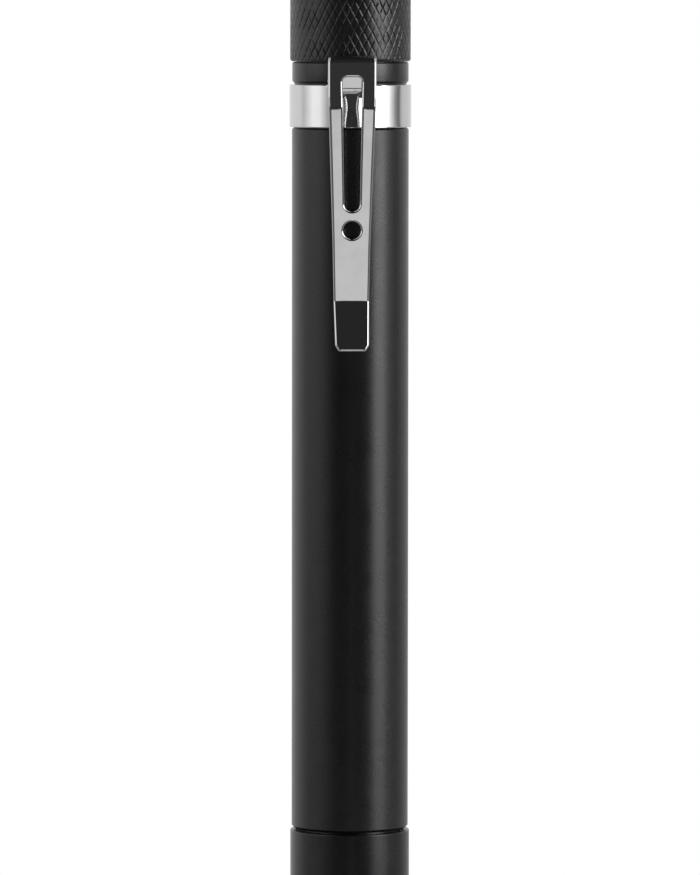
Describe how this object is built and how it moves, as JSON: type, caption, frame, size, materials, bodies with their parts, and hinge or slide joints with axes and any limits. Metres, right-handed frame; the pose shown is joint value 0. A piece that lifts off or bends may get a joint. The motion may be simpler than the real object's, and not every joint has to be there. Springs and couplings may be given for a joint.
{
  "type": "penlight",
  "caption": "Slim round penlight with a knurled screw-on tail cap, push button, smooth lamp head and a chromed pocket clip on a ring.",
  "frame": {"origin": "on the barrel's axis, in the plane of the lamp head's front rim, on which the light stands", "axes": "+Z along the axis from the lamp head to the push button, -Y towards the pocket clip, +X to the right when the clip is seen from the front"},
  "size_m": [0.0138, 0.0159, 0.13],
  "materials": {
    "barrel_finish": "black anodised, satin, fine grain",
    "head_finish": "black anodised, satin, smooth",
    "cap_finish": "black anodised, diamond knurl",
    "clip_chrome": "bright chrome plate over stamped steel",
    "black_rubber": "matt black silicone rubber",
    "brass": "machined brass",
    "spring_steel": "drawn and plated wire",
    "nickel": "nickel plated",
    "ivory_plastic": "moulded, matt",
    "cell_can": "plain metallic sleeve with no print",
    "lens_glass": "clear polished glass",
    "reflector_mirror": "vacuum plated mirror",
    "light_dome": "clear dome over yellow phosphor",
    "white_board": "white solder mask on an aluminium core",
    "green_board": "green solder mask on glass fibre",
    "black_parts": "moulded black packages",
    "red_lead": "red insulation over copper",
    "fibre": "pressed fibre"
  },
  "bodies": {
    "barrel": {"barrel": "barrel_finish", "retaining_collar": "barrel_finish", "lamp_head": "head_finish", "lens_retainer": "cap_finish", "lens": "lens_glass", "lens_gasket": "black_rubber", "reflector": "reflector_mirror", "led_emitter": "light_dome", "led_board": "white_board", "led_pill": "brass", "led_leads": "red_lead", "driver_board": "green_board", "driver_components": "black_parts", "front_contact": "brass", "contact_insulator": "fibre", "head_o_ring": "black_rubber", "tail_o_ring": "black_rubber", "battery_front": "cell_can", "battery_rear": "cell_can"},
    "clip_band": {"clip_band": "clip_chrome"},
    "clip_arm": {"clip_arm": "clip_chrome"},
    "tail_spring": {"tail_spring": "spring_steel"},
    "tail_cap": {"tail_cap": "cap_finish", "switch_housing": "ivory_plastic", "contact_plate": "brass", "switch_retainer": "nickel", "switch_spring": "spring_steel"},
    "push_button": {"push_button": "black_rubber", "switch_plunger": "ivory_plastic", "moving_contact": "brass"}
  },
  "joints": [
    {"name": "tail_cap_travel", "type": "slide", "parent": "barrel", "child": "tail_spring", "axis": [0, 0, 1], "range_m": [0, 0.0065]},
    {"name": "tail_cap_turn", "type": "hinge", "parent": "tail_spring", "child": "tail_cap", "pos_m": [0, 0, 0.11385], "axis": [0, 0, 1], "range_deg": [0, 2340]},
    {"name": "button_press", "type": "slide", "parent": "tail_cap", "child": "push_button", "axis": [0, 0, -1], "range_m": [0, 0.0016], "stiffness_N_per_m": 1200, "springref_m": -0.0005, "deforming": ["switch_spring"]},
    {"name": "clip_swivel", "type": "hinge", "parent": "barrel", "child": "clip_band", "pos_m": [0, 0, 0.10593], "axis": [0, 0, 1], "continuous": true},
    {"name": "clip_flex", "type": "hinge", "parent": "clip_band", "child": "clip_arm", "pos_m": [0, -0.00792, 0.11153], "axis": [-1, 0, 0], "range_deg": [0, 4.5], "stiffness_Nm_per_rad": 1, "springref_deg": -2.86}
  ],
  "couplings": [
    {"joint": "tail_cap_travel", "follows": "tail_cap_turn", "m_per_rad": 0.00015915}
  ]
}
